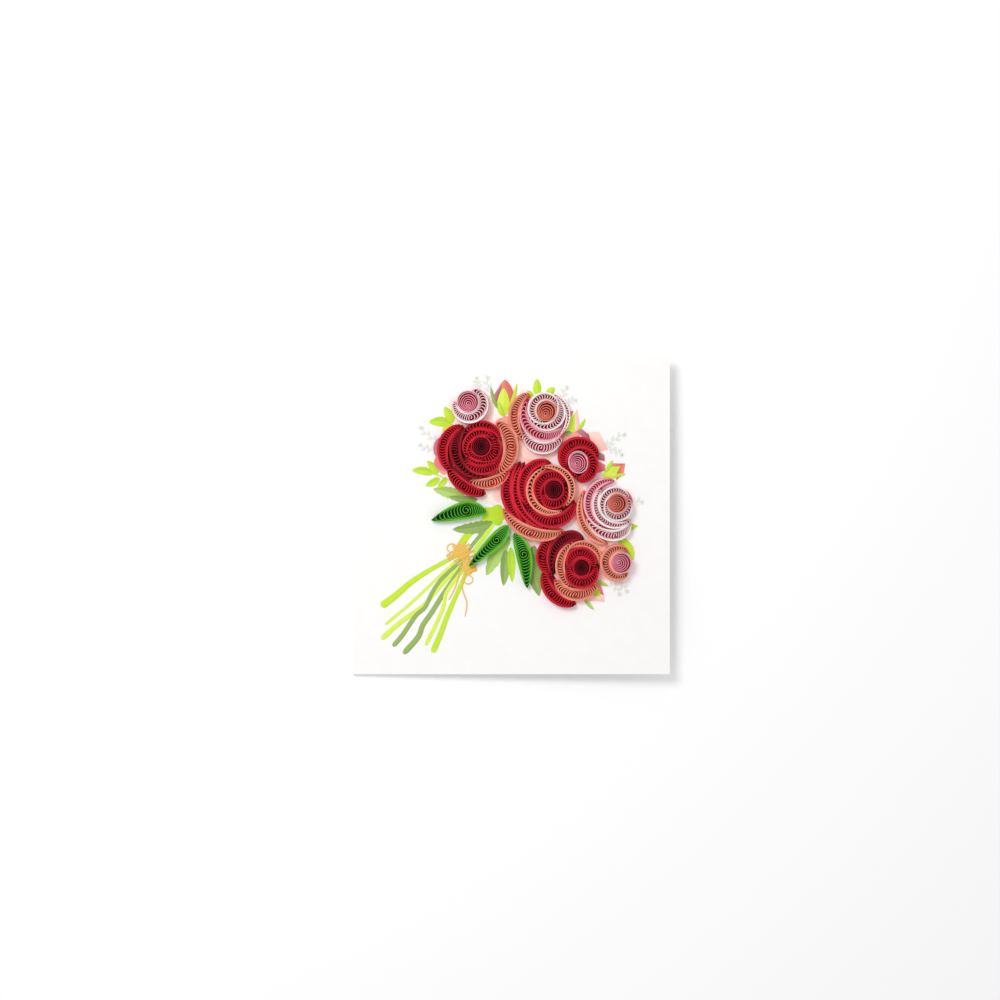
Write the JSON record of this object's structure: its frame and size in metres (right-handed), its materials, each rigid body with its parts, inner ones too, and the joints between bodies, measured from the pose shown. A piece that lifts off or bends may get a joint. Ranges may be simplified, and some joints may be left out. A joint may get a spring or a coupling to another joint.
{
  "type": "greeting card",
  "caption": "Square folded greeting card lying closed, its front a bouquet of raised roses made of quilled paper strips over printed stems, leaves and twine.",
  "frame": {"origin": "bottom centre of the closed card, on the surface that its back panel lies on", "axes": "+X to the right across the front, away from the fold; +Y up the front, along the fold; +Z out of the front"},
  "size_m": [0.1524, 0.1524, 0.0129],
  "materials": {
    "printed_card": "matte",
    "red_paper": "matte",
    "maroon_paper": "matte",
    "coral_paper": "matte",
    "pink_paper": "matte",
    "blush_paper": "matte",
    "leaf_green_paper": "matte"
  },
  "bodies": {
    "root": {"card": "printed_card", "left_rose_coil": "maroon_paper", "left_rose_petal_1": "red_paper", "left_rose_petal_2": "red_paper", "left_rose_petal_3": "red_paper", "left_rose_petal_4": "red_paper", "left_rose_petal_5": "red_paper", "left_rose_petal_6": "red_paper", "left_rose_petal_7": "coral_paper", "left_rose_petal_8": "coral_paper", "left_rose_petal_9": "maroon_paper", "left_rose_petal_10": "red_paper", "left_rose_petal_11": "red_paper", "middle_rose_coil": "maroon_paper", "middle_rose_petal_1": "red_paper", "middle_rose_petal_2": "red_paper", "middle_rose_petal_3": "coral_paper", "middle_rose_petal_4": "coral_paper", "middle_rose_petal_5": "red_paper", "middle_rose_petal_6": "red_paper", "middle_rose_petal_7": "red_paper", "middle_rose_petal_8": "red_paper", "middle_rose_petal_9": "coral_paper", "lower_rose_coil": "maroon_paper", "lower_rose_petal_1": "red_paper", "lower_rose_petal_2": "red_paper", "lower_rose_petal_3": "coral_paper", "lower_rose_petal_4": "coral_paper", "lower_rose_petal_5": "coral_paper", "lower_rose_petal_6": "maroon_paper", "lower_rose_petal_7": "red_paper", "lower_rose_petal_8": "red_paper", "top_rose_coil": "coral_paper", "top_rose_petal_1": "blush_paper", "top_rose_petal_2": "blush_paper", "top_rose_petal_3": "pink_paper", "top_rose_petal_4": "blush_paper", "top_rose_petal_5": "coral_paper", "top_rose_petal_6": "blush_paper", "side_rose_coil": "coral_paper", "side_rose_petal_1": "blush_paper", "side_rose_petal_2": "blush_paper", "side_rose_petal_3": "blush_paper", "side_rose_petal_4": "pink_paper", "side_rose_petal_5": "blush_paper", "side_rose_petal_6": "coral_paper", "pink_bud_coil": "pink_paper", "pink_bud_petal_1": "blush_paper", "red_bud_coil": "pink_paper", "red_bud_petal_1": "red_paper", "red_bud_petal_2": "red_paper", "red_bud_petal_3": "red_paper", "coral_bud_coil": "pink_paper", "coral_bud_petal_1": "coral_paper", "leaf_left": "leaf_green_paper", "leaf_middle": "leaf_green_paper", "leaf_right": "leaf_green_paper"}
  },
  "joints": []
}
